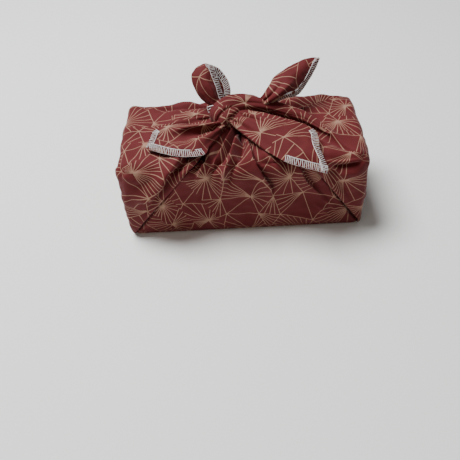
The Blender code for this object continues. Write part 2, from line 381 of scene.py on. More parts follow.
def print_group():
    """How strongly the gold print covers a point of the flat cloth, from 0 to 1."""
    triangle = triangle_group()
    tree, given, result = new_group("gold_print", [("Flat Cloth", "NodeSocketVector")], ["Cover"])
    do, vec = partial(maths, tree), partial(vectors, tree)
    point = vec("MULTIPLY", given[0], (1 / MM, 1 / MM, 0))
    x, y, _ = parts(tree, point)
    row = do("DIVIDE", y, ROW_HEIGHT)
    place = do("SUBTRACT", do("DIVIDE", x, HUB_SPACING), do("MULTIPLY", row, 0.5))
    column, row = (do("FLOOR", do("SUBTRACT", value, 0.5)) for value in (place, row))
    corner = add_node(tree, "ShaderNodeCombineXYZ", column, row).outputs[0]
    slanted = do("ADD", column, do("MULTIPLY", row, 0.5))
    start = add_node(
        tree, "ShaderNodeCombineXYZ", do("MULTIPLY", slanted, HUB_SPACING), do("MULTIPLY", row, ROW_HEIGHT)
    ).outputs[0]
    hubs, ranks = {}, {}
    for i in range(3):
        for j in range(3):
            random = white_noise(tree, vec("ADD", corner, (i + 0.1, j + 0.2, 5.3)))
            stray = vec("SUBTRACT", random["Color"], (0.5, 0.5, 0.5))
            stray = vec("MULTIPLY", stray, (2 * HUB_STRAY, 2 * HUB_STRAY, 0))
            even = vec("ADD", start, ((i + j / 2) * HUB_SPACING, j * ROW_HEIGHT, 0))
            hubs[i, j] = vec("ADD", even, stray)
            ranks[i, j] = random["Value"]
    lines = []
    for i in range(2):
        for j in range(2):
            lower = ((i, j), (i + 1, j), (i, j + 1))
            upper = ((i + 1, j + 1), (i, j + 1), (i + 1, j))
            for k, names in enumerate((lower, upper)):
                seed = vec("ADD", corner, (i + 0.4, j + 0.7, k + 0.3))
                given_to_copy = (point, *(hubs[n] for n in names), seed, *(ranks[n] for n in names))
                copy = add_node(tree, "ShaderNodeGroup", *given_to_copy, node_tree=triangle)
                lines.append(copy.outputs[0])
    hub = combined(tree, "MINIMUM", [vec("DISTANCE", point, place) for place in hubs.values()])
    glow = do("EXPONENT", do("MULTIPLY", hub, HUB_FALL))
    half_width = do("ADD", HALF_LINE, do("MULTIPLY", glow, HUB_SPREAD))
    past_line = do("SUBTRACT", combined(tree, "MINIMUM", lines), half_width)
    limits = {"From Min": INK_EDGE[0], "From Max": INK_EDGE[1], "To Min": 1.0, "To Max": 0.0}
    cover = add_node(
        tree, "ShaderNodeMapRange", past_line, inputs=limits, interpolation_type="SMOOTHSTEP"
    )
    tree.links.new(cover.outputs[0], result[0])
    return tree


# %% [markdown]
# Printed cotton is matt and slightly fuzzy. Its colour is a dusty maroon that varies a little from
# place to place, the gold ink is uneven, and the plain weave shows as a very fine relief. The sheen and
# roughness are plain numbers on the shader, because they are the same everywhere.

# %% The printed cotton
MAROON_DEEP = (0.088, 0.0056, 0.0058, 1)
MAROON_DUSTY = (0.128, 0.0125, 0.0145, 1)
GOLD_INK = (0.430, 0.260, 0.175, 1)
FULLEST_INK = 0.9
THREADS_PER_MM = 2.6
BUMP = {"Strength": 0.35, "Distance": 0.08 * MM}
COTTON = {
    "Roughness": 0.74,
    "Specular IOR Level": 0.22,
    "Sheen Weight": 0.12,
    "Sheen Tint": (1.0, 0.72, 0.74, 1),
    "Sheen Roughness": 0.45,
}


def new_material(name, looks):
    """A material, its tree and its shader, with the looks that are plain numbers."""
    material = bpy.data.materials.new(name)
    material.use_nodes = True
    shader = material.node_tree.nodes["Principled BSDF"]
    for key, value in looks.items():
        shader.inputs[key].default_value = value
    return material, material.node_tree, shader


def printed_cotton():
    material, tree, shader = new_material("printed_cotton", COTTON)
    do, vec = partial(maths, tree), partial(vectors, tree)
    flat = add_node(tree, "ShaderNodeUVMap", uv_map="flat_cloth").outputs[0]
    ink = add_node(tree, "ShaderNodeGroup", flat, node_tree=print_group()).outputs[0]
    cloudy = noise(tree, flat, Scale=60, Detail=4)
    worn = noise(tree, flat, Scale=900, Detail=2)
    strength = do("MINIMUM", do("ADD", do("MULTIPLY", worn, 0.7), 0.35), FULLEST_INK)
    cover = do("MULTIPLY", ink, strength)
    colour = blend(tree, cover, blend(tree, cloudy, MAROON_DEEP, MAROON_DUSTY), GOLD_INK)
    tree.links.new(colour, shader.inputs["Base Color"])
    turns = THREADS_PER_MM / MM * 2 * math.pi
    weave = parts(tree, vec("SINE", vec("MULTIPLY", flat, (turns, turns, 0))))
    relief = do("ADD", do("MULTIPLY", weave[0], weave[1]), do("MULTIPLY", worn, 2.0))
    bump = add_node(tree, "ShaderNodeBump", inputs={**BUMP, "Height": relief})
    tree.links.new(bump.outputs[0], shader.inputs["Normal"])
    return material


cotton = printed_cotton()
print("print drawn with", len(bpy.data.node_groups["gold_print"].nodes), "nodes")

# %% The overlock thread
THREAD_SHADE, THREAD_LIGHT = (0.60, 0.55, 0.55, 1), (0.88, 0.85, 0.84, 1)


def overlock_thread():
    material, tree, shader = new_material("overlock_thread", {"Roughness": 0.6, "Sheen Weight": 0.2})
    place = add_node(tree, "ShaderNodeTexCoord").outputs["Object"]
    colour = blend(tree, noise(tree, place, Scale=2500), THREAD_SHADE, THREAD_LIGHT)
    tree.links.new(colour, shader.inputs["Base Color"])
    return material


thread = overlock_thread()
print("thread material:", thread.name)

# %% [markdown]
# Cloth needs a thickness, a smooth shade and a UV map. The UV map holds the place of each point on
# the flat cloth, in metres, so that the print runs along the cloth as it is folded, and stops at a fold
# just as it does on the real one. Solidify gives the thickness and is made final here, so the piece
# that is kept is a plain closed mesh.

# %% Turning a grid into a sheet of cloth
CLOTH_THICKNESS = 0.45


def in_scene(name, data):
    obj = bpy.data.objects.new(name, data)
    bpy.context.scene.collection.objects.link(obj)
    return obj


def made_final(obj):
    """The mesh that an object's modifiers make becomes its own mesh."""
    bpy.context.view_layer.update()
    graph = bpy.context.evaluated_depsgraph_get()
    shaped = obj.evaluated_get(graph)
    made = bpy.data.meshes.new_from_object(shaped, preserve_all_data_layers=True, depsgraph=graph)
    obj.modifiers.clear()
    old, obj.data = obj.data, made
    bpy.data.meshes.remove(old)
    made.name = obj.name
    return made


def sheet_mesh(name, points, flat, thickness=CLOTH_THICKNESS, offset=-1.0, face_out=True):
    """points (columns, rows, 3) in mm and flat (columns, rows, 2) in mm become a thick sheet. Where the
    print breaks, flat is (first map, second map, which columns of faces use the first)."""
    columns, rows = points.shape[:2]
    index = np.arange(columns * rows).reshape(columns, rows)
    corners = (index[:-1, :-1], index[1:, :-1], index[1:, 1:], index[:-1, 1:])
    quads = np.stack(corners, axis=-1).reshape(-1, 4)
    co = points.reshape(-1, 3)
    if face_out:
        a, b, d = (co[quads[:, k]] for k in (0, 1, 3))
        out = outward(co[quads].mean(axis=1))[1]
        if (np.cross(b - a, d - a) * out).sum() < 0:
            quads = quads[:, ::-1]
    mesh = bpy.data.meshes.new(name)
    mesh.from_pydata((co * MM).tolist(), [], quads.tolist())
    layer = mesh.uv_layers.new(name="flat_cloth")
    loops = np.empty(len(mesh.loops), np.int32)
    mesh.loops.foreach_get("vertex_index", loops)
    if isinstance(flat, tuple):
        face_column = np.arange(len(loops)) // 4 // (rows - 1)
        uses_first = flat[2][face_column][:, None]
        uv = np.where(uses_first, *(part.reshape(-1, 2)[loops] for part in flat[:2]))
    else:
        uv = flat.reshape(-1, 2)[loops]
    layer.data.foreach_set("uv", (uv * MM).astype(np.float32).ravel())
    obj = in_scene(name, mesh)
    solidify = obj.modifiers.new("thickness", "SOLIDIFY")
    solidify.thickness = thickness * MM
    solidify.offset = offset
    solidify.use_quality_normals = True
    mesh = made_final(obj)
    mesh.shade_smooth()
    mesh.materials.clear()
    mesh.materials.append(cotton)
    return obj


def declare(obj, flat):
    """Every piece of the cloth rides on the one body and stands for the one solid."""
    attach(obj, "root")
    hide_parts(NODE)
    print(obj.name, len(obj.data.polygons), "faces, flat", [round(s, 3) for s in flat])

# %% [markdown]
# The belly is the long strip of the cloth that runs from the knot down the front, under the parcel and
# up the back to the knot again. On the real parcel its edges vanish under the folds of the end flaps, so
# it is made a little wider than what shows. Between the knot and the top edge it is gathered into
# lapped pleats, each with a soft back and a dark line in front of it.

# %% The belly strip
BELLY_GUIDES = [
    (-0.12, [(-18, 2, 74), (-55, -46, 74), (-99.5, -46, 0), (-99.5, 46, 0), (-58, 46, 74), (-16, 20, 74)]),
    (0.0, [(-14, -1, 74), (-40, -46, 74), (-97, -46, 0), (-96, 46, 0), (-46, 46, 74), (-13, 22, 74)]),
    (0.5, [(-3, -3, 74), (-1, -46, 74), (0, -46, 0), (0, 46, 0), (0, 46, 74), (-2, 24, 74)]),
    (1.0, [(8, -1, 74), (50, -46, 74), (97, -46, 0), (96, 46, 0), (46, 46, 74), (9, 22, 74)]),
    (1.12, [(12, 2, 74), (62, -46, 74), (99.5, -46, 0), (99.5, 46, 0), (58, 46, 74), (12, 20, 74)]),
]
BELLY_STEPS = (46, 66, 16, 60, 30)
BELLY_COLUMNS = 172
MARGIN = 0.12           # share of the strip's width that runs on under each end flap
MARGIN_LIFT = -4.6      # that part lies this deep, clear of the flap above it
DEEPEST, DEEPER = -3.4, -4.2            # the deepest valley on the walls, and how much deeper on the top
SLACK_SHARE, SLACK_ABOVE = 0.7, 12.0    # share of the slack, which starts this far above the table
TUCK = 0.8              # the base lies this much closer to the box near its ends, clear of the flaps
BELLY_FOLDS = [
    # (route, height along it, reach to its left, reach to its right, fade at its two ends, lean)
    (on_top((-14, 4), (-18, -4), (-24, -15), (-28, -26), (-32, -38)) + on_front((-36, 72), (-42, 60)),
     [-7.0, -6.5, -4.5, -2.0], 2.0, 2.4, (0, 0.4)),
    (on_top((-9, 2), (-15, -9), (-21, -22), (-26, -34), (-31, -45)) + on_front((-37, 60), (-44, 44)),
     [5.0, 5.0, 4.2, 3.0, 1.5], 2.6, 1.6, (0, 0.4), 0.7),
    (on_top((-6, 0), (-12, -12), (-18, -24), (-23, -35)) + on_front((-28, 73)),
     [-4.5, -4.5, -3.6, -2.0], 1.4, 1.2, (0, 0.4)),
    (on_top((-4, -2), (-10, -15), (-15, -26), (-20, -37)) + on_front((-25, 71), (-30, 58)),
     [3.0, 3.6, 3.0, 1.5], 1.8, 1.4, (0, 0.4), 0.6),
    (on_top((-1, -3), (-8, -18), (-12, -27), (-17, -38)) + on_front((-22, 71), (-28, 58), (-34, 44)),
     [-7.5, -7.5, -6.0, -3.5, -3.0, -2.0], 1.5, 2.4, (0, 0.3)),
    (on_top((-1, -6), (-5, -19), (-8, -31), (-12, -44)) + on_front((-17, 58), (-22, 40)),
     [3.0, 4.4, 4.2, 2.4], 2.2, 1.8, (0, 0.4), 0.3),
    (on_top((0, -3), (-1, -16), (-2, -28), (-3, -40)) + on_front((-5, 70)),
     [-8.0, -8.0, -6.0, -3.0], 1.3, 1.8, (0, 0.35)),
    (on_top((-4, -38), (-6, -45)) + on_front((-9, 66), (-12, 56), (-16, 42)), -3.0, 1.3, 2.4, (0.2, 0.5)),
    (on_top((0, -14), (1, -26), (3, -38)) + on_front((6, 73), (10, 63), (17, 50), (23, 34)),
     [3.0, 4.6, 5.0, 4.6, 4.0, 3.0], 1.2, 3.6, (0.1, 0.2), -1.0),
    (on_top((3, -14), (4.5, -27), (7, -39)) + on_front((10, 71), (14, 60), (21, 47), (26, 35)),
     [-2.0, -3.6, -3.6, -3.0, -2.0], 2.6, 1.2, (0.1, 0.2)),
    (on_top((5, -3), (9, -16), (15, -30), (22, -43)) + on_front((30, 62), (40, 48)),
     [2.0, 3.4, 3.4, 1.6], 3.0, 3.6, (0, 0.4)),
    (on_top((12, -14), (19, -27), (26, -38)) + on_front((33, 72), (40, 60)),
     [-2.0, -3.4, -2.0], 1.6, 2.2, (0.1, 0.4)),
    (on_top((16, -20), (26, -34), (35, -45)) + on_front((42, 66), (47, 54), (55, 43), (64, 34), (74, 24)),
     [2.0, 3.4, 3.2, 2.4, 1.0], 1.4, 6.0, (0.1, 0.3), -0.9),
    (on_top((30, -36), (38, -45)) + on_front((46, 65), (52, 54), (60, 43), (70, 33)),
     [-1.5, -2.2, -2.2, -1.0], 2.4, 1.6, (0.1, 0.3)),
    (on_front((60, 34), (70, 27), (80, 14)), 1.6, 2.0, 1.2, (0.3, 0.3)),
    (on_front((56, 28), (66, 20), (76, 8)), 1.3, 2.2, 1.3, (0.3, 0.3)),
    (on_front((-88, 8), (-70, 16), (-46, 20), (-20, 16)), 1.2, 5, 3, (0.3, 0.5)),
    (on_front((88, 6), (60, 10), (30, 14), (5, 22)), 1.0, 5, 3, (0.3, 0.5)),
    (on_top((-9, 22), (-22, 32), (-34, 44)) + on_back((-44, 60), (-54, 46)),
     [3.0, 2.4, 1.0], 2.2, 6, (0, 0.4)),
    (on_top((-4, 23), (-9, 34), (-14, 44)) + on_back((-20, 54)), [3.0, 2.6, 1.0], 2.0, 5, (0, 0.4), 0.4),
    (on_top((0, 23), (-2, 33), (-4, 44)) + on_back((-7, 56)), [-3.0, -2.6, -1.0], 1.5, 2.2, (0, 0.4)),
    (on_top((1, 23), (2, 34), (4, 44)) + on_back((9, 52)), [3.0, 2.6, 1.0], 4, 2.0, (0, 0.4), 0.4),
    (on_top((4, 22), (9, 33), (16, 44)) + on_back((24, 58)), [-3.0, -2.6, -1.0], 2.2, 1.5, (0, 0.4)),
    (on_top((6, 22), (14, 33), (26, 44)) + on_back((38, 58), (52, 44)), [2.6, 2.2, 1.0], 6, 2.2, (0, 0.4)),
]


MOUND_HEIGHT, MOUND_TOP, MOUND_REACH = 9.5, 12.0, 40.0      # flat in a circle round the knot, then a slope
MOUND_EDGE = 8.0        # the mound fades out within this distance down the walls


def mound(points):
    """The cloth climbs to the knot."""
    from_knot = np.hypot(points[:, 0] - KNOT[0], points[:, 1] - KNOT[1])
    slope = np.clip(1 - np.maximum(from_knot - MOUND_TOP, 0) / MOUND_REACH, 0, 1)
    return MOUND_HEIGHT * slope**2 * ease((points[:, 2] - HEIGHT + MOUND_EDGE) / MOUND_EDGE)


def belly_strip():
    across = np.linspace(-MARGIN, 1 + MARGIN, BELLY_COLUMNS)
    base = rays(BELLY_GUIDES, across, BELLY_STEPS)
    points = base.reshape(-1, 3)
    lift, shift = all_folds(points, outward(points)[1], BELLY_FOLDS)
    lift += mound(points) + SLACK_SHARE * slack(points) * ease(points[:, 2] / SLACK_ABOVE)
    # 0 on the part that shows, 1 on the margin under a flap.
    under_flap = ease((np.maximum(-across, across - 1) + 0.01) / 0.04).repeat(base.shape[1])
    # Valleys may be deeper on the top, a little in from its edges, because the cloth is piled up there.
    deepest = DEEPEST + DEEPER * ease((HALF_DEPTH - 3 - np.abs(points[:, 1])) / 6)
    lift = np.maximum(lift, deepest) * (1 - under_flap) + (mound(points) + MARGIN_LIFT) * under_flap
    on_base = points[:, 2] < 0.5
    lift[on_base] = ROOM
    shift *= ((1 - under_flap) * ~on_base)[:, None]
    near_ends = ease((np.abs(points[:, 0]) - HALF_LENGTH + 8) / 6) * on_base
    made = skin(points + shift, lift - TUCK * near_ends)
    return sheet_mesh("belly_strip", made.reshape(base.shape), belly_flat(base))


def belly_flat(base):
    """The walls, base and top unfolded at true size, in one strip."""
    x, y, z = np.moveaxis(base, 2, 0)
    over_top = HALF_DEPTH + HEIGHT + HALF_DEPTH - np.abs(y)
    up_wall = HALF_DEPTH + z
    length = np.where(z > HEIGHT - TINY, over_top, np.where(z < TINY, np.abs(y), up_wall))
    return np.stack([x, np.copysign(length, y)], axis=2)


belly = belly_strip()
declare(belly, flat=(0.200, 0.325))

# %% [markdown]
# The end flaps come over last. Each covers one end wall, turns round the two upright edges, and lies on
# the front and back with a rolled fold that runs from the parcel's bottom corner to the knot. The roll is
# modelled as it is: the sheet reaches the fold, turns under in a half circle, and goes back beneath
# itself. The spare cloth at the top corner makes a twisted strand from the corner to the knot.

# %% The end flaps
FLAP_UNDER = 0.075      # share of the fan that is tucked back under the fold
FLAP_ROLL = 0.016       # share of the fan taken by the half circle
CORNER_AT = 0.30        # where the parcel's top corner lies in the fan
RESTING = 0.3           # lift of the tucked part
FLAP_RISE = 1.3         # away from its roll the flap settles down to this far above the tucked part
SETTLED_BY = 0.09       # share of the fan over which it settles
FLAP_DEEPEST = -4.4     # the deepest valley of a flap
HELD_BY = 0.05          # share of the fan over which the fold holds the relief flat


def flap_columns():
    """Places across the fan, with the tucked part counted as negative, close together at the rolls."""
    under = np.linspace(FLAP_UNDER, FLAP_ROLL, 7)[:-1]
    back = FLAP_ROLL * (1 - np.linspace(0, 1, 7)[:-1] ** 2)
    roll = FLAP_ROLL * np.linspace(0, 1, 8)[:-1] ** 2
    half = np.concatenate([-under, -back, roll, np.linspace(FLAP_ROLL, 0.5, 66)])
    return np.concatenate([half, 1 - half[-2::-1]])


def flap_lift(v, roll_radius):
    """Lift of a flap across its fan: out over the fold, round it, and back beneath."""
    near_fold = np.where(v <= 0.5, v, 1 - v)
    turned = np.clip(1 - np.abs(near_fold) / FLAP_ROLL, 0, 1)
    rise = roll_radius * np.sqrt(np.clip(1 - turned**2, 0, 1))
    settled = (2 * roll_radius - FLAP_RISE) * ease((near_fold - FLAP_ROLL) / SETTLED_BY)
    return RESTING + roll_radius + np.where(near_fold < 0, -rise, rise - settled)


def end_guides(fold_at_edge, fold_at_foot):
    """The guides of the right flap. Its front fold crosses the top edge and reaches the foot here."""
    quarter = fold_at_edge + (83 - fold_at_edge) / 2
    return [
        (0.0, [(11, 2, 74), (fold_at_edge, -46, 74), (97.5, -46, fold_at_foot), (98, -46, 0)]),
        (0.1, [(14, 4, 74), (quarter, -46, 74), (100, -46, 27), (100, -37, 0)]),
        (0.2, [(17, 7, 74), (83, -46, 74), (100, -46, 54), (100, -28, 0)]),
        (0.27, [(18, 9, 74), (97, -46, 74), (100, -46, 70), (100, -21, 0)]),
        (0.33, [(19, 11, 74), (100, -41, 74), (100, -38, 55), (100, -16, 0)]),
        (0.5, [(20, 14, 74), (100, 0, 74), (100, 0, 40), (100, 0, 0)]),
        (0.67, [(19, 17, 74), (100, 41, 74), (100, 38, 55), (100, 16, 0)]),
        (0.73, [(18, 19, 74), (97, 46, 74), (100, 46, 70), (100, 21, 0)]),
        (0.8, [(17, 20, 74), (83, 46, 74), (100, 46, 54), (100, 28, 0)]),
        (0.9, [(15, 21, 74), (64, 46, 74), (100, 46, 27), (100, 37, 0)]),
        (1.0, [(12, 22, 74), (46, 46, 74), (97, 46, 3), (97.5, 46, 0)]),
    ]


def mirrored(guides):
    return [(v, [(-x, y, z) for x, y, z in corners]) for v, corners in guides]


FLAP_STEPS = (52, 46, 40)
RIGHT_FOLDS = [
    (on_top((16, 14), (33, 12), (54, 4), (68, -9), (79, -22), (90, -40)),
     [6.0, 7.0, 6.5, 5.0, 3.4, 1.0], 6.0, 2.2, (0, 0.3), 0.5),
    (on_top((22, 8), (38, 5), (53, -5), (62, -13), (72, -22), (82, -32), (93, -43)),
     [-2.5, -3.6, -3.6, -3.2, -3.0, -2.5], 1.8, 3.6, (0.1, 0.15)),
    (on_top((26, 18), (42, 15), (58, 7), (72, -5), (86, -22)),
     [-2.6, -2.4, -1.6, -1.0], 2.4, 2.4, (0.1, 0.3)),
    (on_front((99, 73), (86, 72), (72, 71)) + on_top((60, -44), (46, -30)),
     [1.2, 2.6, 2.8, 1.6], 4.5, 1.8, (0.15, 0.4)),
    (on_front((99, 70), (91, 68.5), (83, 67), (75, 66.5), (68, 67)),
     [-2.0, -4.8, -5.4, -5.0, -3.0], 2.2, 1.6, (0.35, 0.2)),
    (on_front((66, 64), (72, 60), (79, 52)), [-2.0, -3.4, -2.0], 1.8, 2.6, (0.2, 0.4)),
    (on_front((66, 61), (76, 50), (84, 38), (92, 24)), [-1.4, -2.2, -1.2], 2.4, 3.0, (0.3, 0.3)),
    (on_front((74, 62), (84, 50), (92, 36)), [1.6, 2.0, 1.0], 4.0, 2.4, (0.3, 0.3)),
    (on_front((99, 60), (90, 60), (80, 60), (71, 61)), [0.4, 2.6, 3.2, 1.4], 7.0, 2.4, (0.45, 0.3)),
    (on_top((18, 22), (34, 31), (54, 40), (80, 45)) + on_back((97, 68)),
     [6.0, 3.2, 1.4, 1.0, 0.5], 2.2, 6.0, (0, 0.3)),
    (on_top((22, 18), (36, 25), (54, 31), (72, 34)), [-2.8, -2.8, -1.6], 2.2, 3.0, (0.05, 0.5)),
    (on_top((24, 21), (44, 24), (64, 24), (86, 20)), [2.0, 2.0, 1.4], 3.0, 4.0, (0.05, 0.5)),
    ([(100, -42, 72), (100, -26, 54), (100, -12, 34), (100, -2, 14)],
     [0.2, 1.6, 1.2], 2.0, 7.0, (0.35, 0.5)),
    ([(100, 42, 70), (100, 28, 50), (100, 16, 30), (100, 6, 12)], [1.4, 2.0, 1.2], 7.0, 2.0, (0.15, 0.5)),
    ([(100, -20, 74), (100, -8, 56), (100, 2, 40)], 1.2, 2.0, 4.0, (0.2, 0.5)),
]
LEFT_FOLDS = [
    (on_front((-94, 41), (-86, 44), (-75, 54), (-66, 66))
     + on_top((-59, -45), (-49, -32), (-36, -14), (-20, 3)),
     [3.0, 6.5, 7.5, 6.8, 4.0, 1.5, 1.0, 2.0], 5.5, 3.2, (0.12, 0.0), 0.6),
    (on_front((-92, 15), (-84, 27), (-76, 38), (-68, 50), (-60, 63), (-53, 74))
     + on_top((-42, -30), (-30, -12)),
     [-0.8, -3.4, -5.0, -5.4, -5.0, -3.6, -2.0], 3.4, 4.4, (0.15, 0.1)),
    (on_front((-90, 53), (-77, 62), (-68, 70)) + on_top((-62, -44)),
     [-1.0, -2.0, -2.0], 3.4, 2.6, (0.3, 0.3)),
    (on_top((-20, 11), (-36, 14), (-52, 12), (-69, 7), (-84, -2)),
     [4.5, 3.8, 2.6, 1.4], 2.4, 6.0, (0, 0.4)),
    (on_top((-22, 17), (-38, 20), (-54, 20), (-72, 17)), [-2.6, -2.4, -1.4], 2.4, 2.4, (0, 0.5)),
    (on_top((-20, 19), (-36, 26), (-56, 30), (-80, 30)), [4.0, 3.4, 2.0], 4.5, 3.0, (0, 0.5)),
    (on_top((-19, 23), (-34, 33), (-52, 38), (-74, 40), (-90, 41)),
     [-3.4, -3.4, -3.0, -1.6], 2.0, 2.4, (0, 0.35)),
    (on_top((-12, 26), (-23, 36), (-35, 43)) + on_back((-52, 73), (-70, 71)),
     [9.0, 8.0, 3.5, 0.8, 0.4], 4.0, 5.0, (0, 0.35)),
    ([(-100, -40, 72), (-100, -26, 56), (-100, -12, 36), (-100, -4, 16)],
     [1.6, 2.4, 1.4], 7.0, 2.0, (0.15, 0.5)),
    ([(-100, 42, 70), (-100, 26, 48), (-100, 14, 28), (-100, 6, 12)],
     [1.4, 2.0, 1.2], 2.0, 7.0, (0.15, 0.5)),
    (on_front((-92, 14), (-80, 27), (-68, 39), (-60, 48)), 1.2, 1.6, 2.4, (0.3, 0.4)),
]
ROLL_ROWS = (0, 0.3, 0.7, 1)            # the radius of the roll is given at these shares of the way down
RIGHT_ROLL, LEFT_ROLL = (2.2, 1.7, 1.4, 0.7), (2.0, 1.6, 1.5, 0.8)


def flap_sheet(name, guides, folds, roll):
    v = flap_columns()
    tucked = np.where(v < 0, -v, np.where(v > 1, 2 - v, v))
    base = evened(rays(guides, tucked, FLAP_STEPS))
    points = base.reshape(-1, 3)
    radius = np.interp(np.linspace(0, 1, base.shape[1]), ROLL_ROWS, roll)
    lift = flap_lift(v[:, None], radius[None, :])
    shown = ((v >= 0) & (v <= 1))[:, None]
    relief, shift = all_folds(points, outward(points)[1], folds)
    relief += SLACK_SHARE * slack(points + 31) * ease(points[:, 2] / SLACK_ABOVE)
    relief = np.maximum(relief, FLAP_DEEPEST).reshape(lift.shape)
    off_fold = ease(np.minimum(np.abs(tucked), 1 - tucked) / HELD_BY)[:, None]
    kept = np.where(shown | (relief < 0), 0.1 + 0.9 * off_fold, 0.1)
    lift = lift + relief * kept + mound(points).reshape(lift.shape)
    made = skin(points + shift * kept.reshape(-1, 1), lift.ravel())
    return sheet_mesh(name, made.reshape(base.shape), flap_flat(base, tucked))


def flap_flat(base, tucked):
    """A flap unfolded at true size. Its end wall is the middle, and the two ears unfold about the upright
    edges. The top is unfolded from the ear outside the strand of each corner, and between the two
    strands from the end wall. So there are two maps, and a list of the columns that use the first."""
    x, y, z = np.abs(base[..., 0]), base[..., 1], base[..., 2]
    at_top = z > HEIGHT - TINY
    on_ear = np.abs(y) > HALF_DEPTH - TINY
    inside = HALF_LENGTH - x
    ear = np.copysign(HALF_DEPTH + inside, base[:, -1:, 1])
    maps = []
    for beyond, across_top in ((HALF_DEPTH - np.abs(y), ear), (inside, y)):
        length = np.where(at_top, HALF_LENGTH + HEIGHT + beyond, HALF_LENGTH + z)
        across = np.where(at_top, across_top, np.where(on_ear, ear, y))
        maps.append(np.stack([length * np.sign(base[..., 0]), across], axis=2))
    middle = (tucked[:-1] + tucked[1:]) / 2
    return *maps, (middle < CORNER_AT) | (middle > 1 - CORNER_AT)


right_flap = flap_sheet("right_end_flap", end_guides(50, 5), RIGHT_FOLDS, RIGHT_ROLL)
left_flap = flap_sheet("left_end_flap", mirrored(end_guides(40, 3)), LEFT_FOLDS, LEFT_ROLL)
for flap in (right_flap, left_flap):
    declare(flap, flat=(0.230, 0.190))

# %% [markdown]
# The four corners of the square stick out of the knot as tails. Near the knot a tail is bunched, further
# out it opens, and at its end it is the true right-angled corner of the cloth with a hem on both sides.
# Each tail is a grid of a few given rows, smoothed both ways. Where a side is folded under instead
# of hemmed, the sheet rolls round the edge and goes back beneath, more and more towards the knot.

# %% Tail sheets
TAIL_STEPS, TAIL_ACROSS = 64, 56
TAIL_THICKNESS = 0.5
TAIL_SLACK, TAIL_RIPPLE = 0.35, 1.6     # share of the slack, and how much finer it is than on the parcel
BUNCHED = 0.22          # how quickly the bunching fades, as a share of the tail's length
BROAD, FINE = 19, 31    # the two waves of the bunching, in radians across the tail
CURL_STEPS = 10
CURL_RADIUS = 1.3
LEAST_CURL, CURL_GROWS = 0.25, 9.0      # cloth folded under where the roll ends, and how much it gains
CURL_SOON = 1.2         # the roll is full a little before the knot
CURL_SINKS = 0.06       # the part that goes back beneath falls away by this share of its length


def facing(grid, towards):
    """Unit normals of a grid, on the side that faces `towards`."""
    normal = unit(np.cross(np.gradient(grid, axis=0), np.gradient(grid, axis=1)))
    return normal * (1 if (normal @ np.array(towards, float)).mean() > 0 else -1)


def curled_side(edge, inner, face, arcs):
    """Columns that roll under an edge. arcs (rows, columns) says how far round each point lies."""
    outwards = unit(edge - inner)
    angle = np.minimum(arcs / CURL_RADIUS, math.pi)
    past = np.maximum(arcs - math.pi * CURL_RADIUS, 0)
    along = CURL_RADIUS * np.sin(angle) - past
    down = CURL_RADIUS * (1 - np.cos(angle)) + CURL_SINKS * past
    return edge[:, None] + outwards[:, None] * along[..., None] - face[:, None] * down[..., None]


def with_curls(grid, normal, flat, curls, t):
    """A tail's grid and flat map with its rolls. curls says where along the tail each side's roll ends."""
    whole, whole_flat = grid, flat
    for side, end in enumerate(curls):
        if end is None:
            continue
        width = LEAST_CURL + CURL_GROWS * ease((end - t) / end * CURL_SOON)
        arcs = width * (np.arange(1, CURL_STEPS + 1) / CURL_STEPS)
        edge, inner, sign = ((0, 2, -1), (-1, -3, 1))[side]
        extra = curled_side(grid[:, edge], grid[:, inner], normal[:, edge], arcs)
        extra_flat = flat[:, edge, None] + np.stack([sign * arcs, np.zeros_like(arcs)], axis=2)
        if side == 0:
            whole = np.concatenate([extra[:, ::-1], whole], axis=1)
            whole_flat = np.concatenate([extra_flat[:, ::-1], whole_flat], axis=1)
        else:
            whole = np.concatenate([whole, extra], axis=1)
            whole_flat = np.concatenate([whole_flat, extra_flat], axis=1)
    return whole, whole_flat


